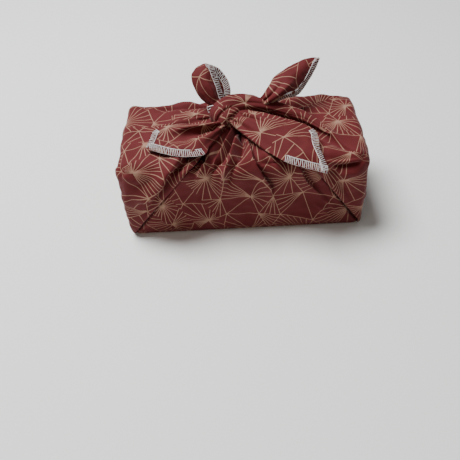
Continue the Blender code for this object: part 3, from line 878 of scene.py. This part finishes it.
def tail_sheet(name, rows, towards, creases=(), curls=(None, None), ruck=1.0, place=(0, 0), seed=0):
    """Returns the tail, and its grid and normals for the hem."""
    rails = catmull(rows, TAIL_STEPS)
    grid = catmull(np.swapaxes(rails, 0, 1), TAIL_ACROSS).swapaxes(0, 1)
    along = lengths_along(grid[:, TAIL_ACROSS // 2])
    along -= along[-1]
    across = lengths_along(grid, axis=1)
    across -= across[:, TAIL_ACROSS // 2][:, None]
    flat = np.stack([across, np.broadcast_to(along[:, None], across.shape)], axis=2)
    t = np.linspace(0, 1, TAIL_STEPS)[:, None]
    s = np.linspace(0, 1, TAIL_ACROSS)
    normal = facing(grid, towards)
    wander = np.random.default_rng(seed).uniform(0, ANY_PHASE, 3)
    bunch = np.exp(-t / BUNCHED) * (
        np.sin(BROAD * s + wander[0]) + 0.6 * np.sin(FINE * s + wander[1] + 2 * t)
    )
    swells = slack(grid.reshape(-1, 3) * TAIL_RIPPLE + 17 * seed).reshape(bunch.shape)
    relief = ruck * bunch + TAIL_SLACK * swells * ease(t / 0.3)
    flat_points = np.dstack([flat, np.zeros(across.shape)]).reshape(-1, 3)
    up = np.broadcast_to([0.0, 0.0, 1.0], flat_points.shape)
    for route, *facts in creases:
        stops = []
        for down_tail, over_tail in route:
            row = round(down_tail * (TAIL_STEPS - 1))
            stops.append([np.interp(over_tail, s, flat[row, :, 0]), along[row], 0])
        relief = relief + fold(flat_points, up, stops, *facts)[0].reshape(bunch.shape)
    grid = grid + normal * relief[..., None]
    normal = facing(grid, towards)
    whole, whole_flat = with_curls(grid, normal, flat, curls, t)
    if (np.cross(np.gradient(grid, axis=0), np.gradient(grid, axis=1)) * normal).sum() < 0:
        whole, whole_flat = whole[::-1], whole_flat[::-1]
    # A tail points at a corner of the square, so it lies at 45 degrees on the flat cloth.
    x, y = np.moveaxis(whole_flat, 2, 0)
    turned = np.stack([x - y, x + y], axis=2) * math.sqrt(0.5)
    obj = sheet_mesh(name, whole, turned + np.array(place), TAIL_THICKNESS, 0.0, face_out=False)
    return obj, grid, normal


# %% The tails
TAILS = {
    "front_right_tail": dict(
        rows=[
            [(1, 8, 87.5), (-3, 4, 88), (-8, -2, 85)],
            [(18, -0.5, 89), (9, -7, 90.5), (0, -13, 82.5)],
            [(37, -10, 88), (25, -20, 88.5), (13, -29, 80)],
            [(57.3, -19.5, 84), (45, -34, 84.5), (31, -48, 77)],
            [(59.6, -39.5, 81), (53.5, -46.5, 81), (47.5, -54.5, 74)],
            [(64.8, -58.4, 72), (64.6, -58.9, 71.7), (64, -59.4, 71.4)],
        ],
        towards=(0, -1, 1), curls=(0.58, 0.58), place=(60, 310), seed=3,
        creases=[
            ([(0.02, 0.25), (0.2, 0.2), (0.45, 0.12)], [-1.5, -1.2], 2.0, 2.0, (0, 0.5)),
            ([(0.02, 0.6), (0.2, 0.5), (0.4, 0.42)], [-1.8, -1.0], 1.8, 2.4, (0, 0.5)),
            ([(0.6, 0.75), (0.75, 0.62), (0.9, 0.4)], 0.9, 2.6, 2.6, (0.4, 0.4)),
        ],
    ),
    "front_left_tail": dict(
        rows=[
            [(-16, -1, 82), (-17, -5, 86), (-16, -4, 81), (-15, -6.5, 84), (-13, -7, 81.5)],
            [(-31, -3, 84), (-29, -9, 87), (-27, -8, 79), (-24, -15.5, 85), (-20, -17.5, 81)],
            [(-52, -3, 85), (-47, -10.5, 86.5), (-41, -12, 79), (-35, -25, 85.5), (-27.5, -29, 80.5)],
            [(-70, -6.5, 84), (-64, -14, 83), (-55, -22, 81), (-43, -32, 84.5), (-31.5, -39, 79.5)],
            [
                (-74, -15.5, 82), (-69.5, -20.5, 81.5), (-64.5, -25.5, 81), (-59, -31.5, 82),
                (-53, -38, 79.5),
            ],
            [
                (-77.2, -24.6, 79.4), (-77.5, -24.9, 79.3), (-77.6, -25.2, 79.2), (-77.6, -25.5, 79.1),
                (-77, -26, 78.8),
            ],
        ],
        towards=(0, -1, 1), curls=(0.58, 0.56), place=(310, 60), seed=5,
        creases=[
            ([(0.1, 0.7), (0.3, 0.72), (0.5, 0.76)], [-1.6, -1.2], 1.6, 2.0, (0, 0.5)),
        ],
    ),
    "back_left_tail": dict(
        rows=[
            [(-11, 15, 85), (-15, 12, 86), (-20, 14, 86), (-18, 19, 85), (-13, 20, 85)],
            [(-14, 20, 94.5), (-22, 14.5, 94.5), (-32, 18, 94.5), (-25, 24, 94.5), (-8, 25, 93.5)],
            [(-16.5, 25.5, 103), (-26, 18, 103.5), (-38, 23, 103.5), (-29, 30, 102.5), (-9, 31, 101)],
            [(-19, 29.5, 109.8), (-28, 23.5, 111), (-39, 29, 110.5), (-30, 34, 109.5), (-12.5, 34, 107)],
            [(-21, 33, 114), (-27, 31, 116), (-35, 33, 115), (-30, 35.5, 114.5), (-17, 35.5, 112)],
            [(-24.5, 35, 116), (-27, 35, 117.3), (-30, 35.2, 117), (-28.5, 36, 116.5), (-23, 36.5, 115)],
        ],
        towards=(0, -1, 0.3), curls=(None, None), place=(65, -305), seed=8, ruck=0.8,
        creases=[
            ([(0.1, 0.18), (0.4, 0.2), (0.7, 0.25)], [-2.2, -1.4], 1.5, 3.0, (0, 0.4)),
            ([(0.1, 0.3), (0.3, 0.36), (0.5, 0.42)], [-1.6, -0.8], 1.5, 1.5, (0, 0.5)),
        ],
    ),
    "back_right_tail": dict(
        rows=[
            [(12, 17, 85), (15, 13, 87), (18, 12, 87), (20, 13, 85)],
            [(20, 15, 97), (26, 12, 97.5), (31, 12, 96), (38, 16, 92)],
            [(31, 29, 105), (36, 21, 104), (41, 18, 99), (49, 22, 91)],
            [(46, 39, 109), (48, 32, 107), (50, 28, 102), (58, 32, 96)],
            [(59, 44, 111), (59.5, 41, 109.5), (60.5, 38.5, 107), (65.5, 40, 104)],
            [(69, 46, 110.6), (69.4, 45.6, 110.4), (69.6, 45.3, 110.2), (69.6, 45.4, 109.8)],
        ],
        towards=(0, -1, 0.5), curls=(0.85, None), place=(-310, -60), seed=9, ruck=0.8,
        creases=[
            ([(0.05, 0.5), (0.3, 0.55), (0.6, 0.62)], [2.4, 2.2, 0.8], 2.6, 2.0, (0, 0.4)),
            ([(0.05, 0.25), (0.3, 0.3), (0.5, 0.4)], [-1.6, -1.0], 1.6, 2.2, (0, 0.5)),
        ],
    ),
}
tails = {}
for name, facts in TAILS.items():
    tails[name] = tail_sheet(name, **facts)
    print(name, len(tails[name][0].data.polygons), "faces")

# %% [markdown]
# The raw edge of the cloth is closed with white overlock: a machine throws a loop of thread over the
# edge every millimetre and a half, so a ladder of threads shows on both faces, with a needle line inside
# and a rim of thread along the edge. Geometry Nodes sets one loop at each step along a rail, turned to
# the cloth by two directions that the rail carries.

# %% The overlock stitch tree
STITCH_SIZES = {"Spacing": 0.0016, "Hem Width": 0.0054, "Loop Height": 0.0013, "Thread Radius": 0.00025}
LOOP_SLANT = math.radians(14)
WOBBLE = Vector((0.06, 0.05, 0.22))     # how far a loop may turn out of line about each axis, in radians
LOOP_AT, RIM_AT, NEEDLE_AT = 0.46, -0.03, 0.93      # places across the hem, as shares of its width
NEEDLE_RISE = 0.46      # the needle lines lie this share of the loop's height above and below the cloth


def overlock_tree():
    tree = bpy.data.node_groups.new("overlock_stitches", "GeometryNodeTree")
    tree.interface.new_socket("Geometry", in_out="INPUT", socket_type="NodeSocketGeometry")
    for name, size in STITCH_SIZES.items():
        socket = tree.interface.new_socket(name, in_out="INPUT", socket_type="NodeSocketFloat")
        socket.default_value = size
    tree.interface.new_socket("Thread", in_out="INPUT", socket_type="NodeSocketMaterial")
    tree.interface.new_socket("Geometry", in_out="OUTPUT", socket_type="NodeSocketGeometry")
    given = tree.nodes.new("NodeGroupInput").outputs
    do, vec = partial(maths, tree), partial(vectors, tree)

    def add(kind, inputs, **settings):
        return add_node(tree, kind, inputs=inputs, **settings).outputs[0]

    def direction(name):
        return add("GeometryNodeInputNamedAttribute", {"Name": name}, data_type="FLOAT_VECTOR")

    def scaled(vector, factor):
        return add("ShaderNodeVectorMath", {0: vector, "Scale": factor}, operation="SCALE")

    def circle(sides, radius):
        return add("GeometryNodeCurvePrimitiveCircle", {"Resolution": sides, "Radius": radius})

    thread_profile = circle(6, given["Thread Radius"])

    def tube(line):
        return add("GeometryNodeCurveToMesh", {"Curve": line, "Profile Curve": thread_profile})

    def moved(line, offset):
        return add("GeometryNodeSetPosition", {"Geometry": line, "Offset": offset})

    inward, up = direction("inward"), direction("up")
    curve = add("GeometryNodeMeshToCurve", {0: given["Geometry"]})
    rail = add("GeometryNodeResampleCurve", {"Curve": curve, "Length": given["Spacing"]}, mode="LENGTH")

    # One loop: a circle as wide as the hem and as high as the loop, set upright and a little slanted.
    size = add("ShaderNodeCombineXYZ", {0: given["Hem Width"], 1: given["Loop Height"], 2: 1.0})
    oval = add("GeometryNodeTransform", {"Geometry": circle(18, 0.5), "Scale": size})
    upright = (math.pi / 2, 0, LOOP_SLANT)
    loop = add("GeometryNodeTransform", {"Geometry": tube(oval), "Rotation": upright})

    axes = {"Primary Axis": inward, "Secondary Axis": up}
    to_cloth = add("FunctionNodeAxesToRotation", axes, primary_axis="X", secondary_axis="Z")
    limits = {"Min": -WOBBLE, "Max": WOBBLE, "Seed": 4}
    wobble = add("FunctionNodeRandomValue", limits, data_type="FLOAT_VECTOR")
    turn = add("FunctionNodeEulerToRotation", {0: wobble})
    turned = add("FunctionNodeRotateRotation", {0: to_cloth, 1: turn}, rotation_space="LOCAL")
    middle = moved(rail, scaled(inward, do("MULTIPLY", given["Hem Width"], LOOP_AT)))
    placed = {"Points": middle, "Instance": loop, "Rotation": turned}
    joined = add_node(tree, "GeometryNodeJoinGeometry", add("GeometryNodeInstanceOnPoints", placed))

    rise = scaled(up, do("MULTIPLY", given["Loop Height"], NEEDLE_RISE))
    for share, side in ((RIM_AT, None), (NEEDLE_AT, "ADD"), (NEEDLE_AT, "SUBTRACT")):
        offset = scaled(inward, do("MULTIPLY", given["Hem Width"], share))
        if side:
            offset = vec(side, offset, rise)
        tree.links.new(tube(moved(rail, offset)), joined.inputs[0])
    real = add("GeometryNodeRealizeInstances", {0: joined.outputs[0]})
    painted = add("GeometryNodeSetMaterial", {"Geometry": real, "Material": given["Thread"]})
    smooth = add("GeometryNodeSetShadeSmooth", {"Geometry": painted})
    tree.links.new(smooth, tree.nodes.new("NodeGroupOutput").inputs[0])
    return tree


stitches = overlock_tree()
print("stitch tree has", len(stitches.nodes), "nodes")

# %% Hems on the tails
def socket_id(tree, name):
    return next(s.identifier for s in tree.interface.items_tree if s.name == name and s.in_out == "INPUT")


def hem(name, rails):
    """One mesh of stitches for the hems of a tail. A rail is its points, and the directions in and up."""
    mesh = bpy.data.meshes.new(name)
    points, edges, inward, up = [], [], [], []
    for line, to_cloth, face in rails:
        first = len(points)
        points += (line * MM).tolist()
        edges += [(first + i, first + i + 1) for i in range(len(line) - 1)]
        inward += unit(to_cloth).tolist()
        up += unit(face).tolist()
    mesh.from_pydata(points, edges, [])
    for label, values in (("inward", inward), ("up", up)):
        layer = mesh.attributes.new(label, "FLOAT_VECTOR", "POINT")
        layer.data.foreach_set("vector", np.array(values, np.float32).ravel())
    obj = in_scene(name, mesh)
    sewing = obj.modifiers.new("overlock", "NODES")
    sewing.node_group = stitches
    sewing[socket_id(stitches, "Thread")] = thread
    made_final(obj)
    return obj


def hem_rail(grid, normal, side, start, end=1.0):
    """The rail of one side of a tail, from one share of its length to another."""
    rows = slice(round(start * (TAIL_STEPS - 1)), round(end * (TAIL_STEPS - 1)) + 1)
    at_edge, at_face, inside = ((0, 3, 6), (-1, -4, -7))[side]
    edge, face = grid[rows, at_edge], normal[rows, at_face]
    to_cloth = grid[rows, inside] - edge
    along = unit(np.gradient(edge, axis=0))
    return edge, to_cloth - along * np.einsum("ij,ij->i", to_cloth, along)[:, None], face


# For each tail: the sides that are hemmed, and where on its length each hem starts and ends.
HEMS = {
    "front_right_tail": [(0, 0.60, 0.985), (1, 0.60, 0.985)],
    "front_left_tail": [(0, 0.61, 0.985), (1, 0.58, 0.985)],
    "back_left_tail": [(0, 0.18, 1.0), (1, 0.1, 1.0)],
    "back_right_tail": [(1, 0.12, 0.985)],
}
# A little of the hem comes out between the knot and the cloth on its left.
TUCKED_HEM = [(-27.2, 10, 92), (-27.4, 9, 89.5), (-26, 8, 86.5)]
TUCKED_STEPS, TUCKED_INWARD, TUCKED_UP = 8, (1.0, -0.2, 0.15), (-0.3, -0.9, 0.3)
# The flat size of each tail, and its area, in metres.
TAIL_CUT = {
    "front_right_tail": ((0.075, 0.080), 0.0036),
    "front_left_tail": ((0.075, 0.075), 0.0036),
    "back_left_tail": ((0.060, 0.045), 0.0022),
    "back_right_tail": ((0.060, 0.075), 0.0023),
}
for name, (tail, grid, normal) in tails.items():
    rails = [hem_rail(grid, normal, *where) for where in HEMS[name]]
    if name == "back_left_tail":
        directions = (np.tile(way, (TUCKED_STEPS, 1)) for way in (TUCKED_INWARD, TUCKED_UP))
        rails.append((catmull(TUCKED_HEM, TUCKED_STEPS), *directions))
    sewn = hem(name + "_hem", rails)
    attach(sewn, "root")
    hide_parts(NODE)
    flat, area = TAIL_CUT[name]
    declare(tail, flat=flat)
    print(sewn.name, len(sewn.data.polygons), "faces")

# %% [markdown]
# The knot is made of bands: the cloth between a flap and its tail, gathered into a flat rope. A band is
# a sheet rolled almost closed round a smooth route, open underneath, with pleats along it that turn
# slowly as the twist of the knot takes them. The broad band lies over all and runs on to the right as a
# strand; a shorter one crosses under it.

# %% Bands of the knot
BAND_TURN = 2.7         # how far the sheet goes round on each side of the top, in radians
BAND_ACROSS = 76
BAND_STEPS = 14         # rows between two points of a band's route


def band(name, route, wide, thick, up, pleats, depth, twist, place, phase=0.0):
    """route is in mm; wide, thick and up (which way the band's top faces) are given evenly along it."""
    line = catmull(route, BAND_STEPS * (len(route) - 1) + 1)
    t = np.linspace(0, 1, len(line))
    tangent = unit(np.gradient(line, axis=0))
    across = unit(np.cross(tangent, np.stack([spread(axis, t) for axis in zip(*up)], axis=1)))
    above = unit(np.cross(across, tangent))
    angle = np.linspace(-BAND_TURN, BAND_TURN, BAND_ACROSS)
    # Two sets of pleats of different width make an uneven rope, with a flattened oval section.
    turned = twist * t[:, None]
    ripple = np.abs(np.sin(pleats / 2 * angle + phase + turned)) ** 0.7
    ripple += 0.5 * np.abs(np.sin(pleats * 0.81 * angle + 1.9 * phase - 0.6 * turned))
    out = 1 + depth * (ripple - 0.9)
    x = spread(wide, t)[:, None] / 2 * out * np.sin(angle)
    z = spread(thick, t)[:, None] / 2 * out * np.sign(np.cos(angle)) * np.abs(np.cos(angle)) ** 0.8
    grid = line[:, None] + across[:, None] * x[..., None] + above[:, None] * z[..., None]
    round_it, along = lengths_along(grid, axis=1), lengths_along(line)
    flat = np.stack([round_it, np.broadcast_to(along[:, None], round_it.shape)], axis=2) + np.array(place)
    normal = np.cross(np.gradient(grid, axis=0), np.gradient(grid, axis=1))
    if (normal * (grid - line[:, None])).sum() < 0:
        grid, flat = grid[::-1], flat[::-1]
    obj = sheet_mesh(name, grid, flat, face_out=False)
    size = (round(round_it[:, -1].mean() * MM, 4), round(along[-1] * MM, 4))
    declare(obj, flat=size)


band(
    "knot_over_band",
    [
        (-18, 4, 79), (-20.5, 3, 84), (-19, 5, 88.5), (-13.5, 9, 91), (-6, 12, 92), (3, 13, 92),
        (12, 12.5, 90.5), (21, 12.5, 88), (30, 11.5, 86), (40, 8, 84), (50, 4, 82), (61, -4, 79.5),
        (72, -16, 77),
    ],
    wide=[8, 12, 14, 14, 15, 14, 12, 10.5, 10, 10, 9, 7, 4],
    thick=[6, 8, 9, 10, 10, 10, 9, 8.5, 8, 7.5, 6.5, 4, 2],
    up=[
        (-0.9, -0.6, 0.1), (-0.6, -0.6, 0.6), (-0.2, -0.6, 0.9), (0, -0.5, 1), (0, -0.5, 1), (0, -0.45, 1),
        (0.1, -0.4, 1),
    ],
    pleats=5, depth=0.16, twist=5.0, place=(20, 30),
)
band(
    "knot_under_band",
    [(-15, -4, 79), (-15.5, -2.5, 83), (-12.5, 0, 86.5), (-8, 4, 88), (-2, 8.5, 88.5), (4, 12, 87)],
    wide=[7, 9, 10, 10, 9, 8], thick=[5, 7, 8, 8, 7, 6],
    up=[(-0.5, -0.8, 0.1), (-0.1, -0.9, 0.7), (0.1, -0.8, 0.9)],
    pleats=4, depth=0.14, twist=2.0, place=(120, 30), phase=0.8,
)
band(
    "knot_left_strand",
    [(-12, 12, 83), (-22, 15, 82), (-33, 18, 79.5), (-46, 20, 77), (-60, 21, 74)],
    wide=[11, 12, 12, 12, 9], thick=[8, 8, 7, 5, 2],
    up=[(0, -0.2, 1), (0, -0.1, 1)],
    pleats=4, depth=0.12, twist=2.5, place=(-120, 40), phase=0.4,
)
band(
    "knot_back_band",
    [(-20, 17, 80), (-10, 22, 85), (0, 23, 87), (10, 21, 87), (18, 17, 85)],
    wide=[10, 12, 13, 12, 10], thick=[9, 11, 11, 11, 9],
    up=[(-0.2, 0.4, 1), (0, 0.5, 1), (0.2, 0.4, 1)],
    pleats=5, depth=0.14, twist=3.0, place=(-60, -90), phase=1.1,
)
band(
    "knot_heart",
    [(-19, 7, 76), (-12, 7, 80), (-3, 8, 82), (6, 8, 82), (14, 9, 79), (20, 10, 75)],
    wide=[16, 22, 26, 26, 22, 14], thick=[8, 12, 14, 14, 12, 8],
    up=[(0, 0, 1), (0, 0, 1)],
    pleats=9, depth=0.08, twist=1.0, place=(-150, -90), phase=0.2,
)

# %% [markdown]
# The camera looks down on the parcel from the front at about forty-five degrees. The light is that of a
# white room: a large soft lamp above and a little behind, so that the top is bright and the front wall
# is in shade, and a pale surface that throws a little light back.

# %% Camera
CAMERA_PLACE = (-0.00462, -0.38011, 0.34246)
CAMERA_AZIMUTH, CAMERA_ELEVATION, CAMERA_ROLL = (math.radians(a) for a in (1.682, 45.597, -4.166))
CAMERA_ANGLE = math.radians(45.81)


def place_camera():
    lens = bpy.data.cameras.new("camera")
    lens.angle = CAMERA_ANGLE
    lens.clip_start = 0.01
    camera = in_scene("camera", lens)
    turn = Matrix.Rotation(CAMERA_AZIMUTH, 4, "Z") @ Matrix.Rotation(math.pi / 2 - CAMERA_ELEVATION, 4, "X")
    camera.matrix_world = Matrix.Translation(CAMERA_PLACE) @ turn @ Matrix.Rotation(CAMERA_ROLL, 4, "Z")
    bpy.context.scene.camera = camera
    return camera


print("camera at", [round(c, 3) for c in place_camera().matrix_world.translation])

# %% Light and floor
SKY_COLOUR, SKY_STRENGTH = (0.86, 0.90, 0.90, 1), 0.17
FLOOR_COLOUR = (0.92, 0.91, 0.885, 1)
FLOOR_SIZE, FLOOR_BELOW = 6, -0.0005    # the floor is a hair below the cloth, so the two never touch


def soft_lamp(name, place, target, size, power, colour):
    lamp = bpy.data.lights.new(name, "AREA")
    lamp.shape = "DISK"
    lamp.size = size
    lamp.energy = power
    lamp.color = colour
    obj = in_scene(name, lamp)
    obj.location = place
    obj.rotation_euler = (Vector(target) - Vector(place)).to_track_quat("-Z", "Y").to_euler()


def white_room():
    world = bpy.data.worlds.new("white_room")
    world.use_nodes = True
    sky = world.node_tree.nodes["Background"]
    sky.inputs["Color"].default_value = SKY_COLOUR
    sky.inputs["Strength"].default_value = SKY_STRENGTH
    bpy.context.scene.world = world
    paper = new_material("pale_floor", {"Base Color": FLOOR_COLOUR, "Roughness": 0.7})[0]
    bpy.ops.mesh.primitive_plane_add(size=FLOOR_SIZE, location=(0, 0, FLOOR_BELOW))
    floor = bpy.context.object
    floor.name = "pale_floor"
    floor.data.materials.append(paper)


soft_lamp(
    "ceiling_lamp", place=(-0.50, 0.28, 1.36), target=(0, 0, 0.04),
    size=0.8, power=39, colour=(0.95, 0.985, 1.0),
)
soft_lamp(
    "room_fill", place=(-0.5, -1.1, 0.9), target=(0, 0, 0.06),
    size=1.2, power=2.1, colour=(1.0, 0.78, 0.60),
)
white_room()
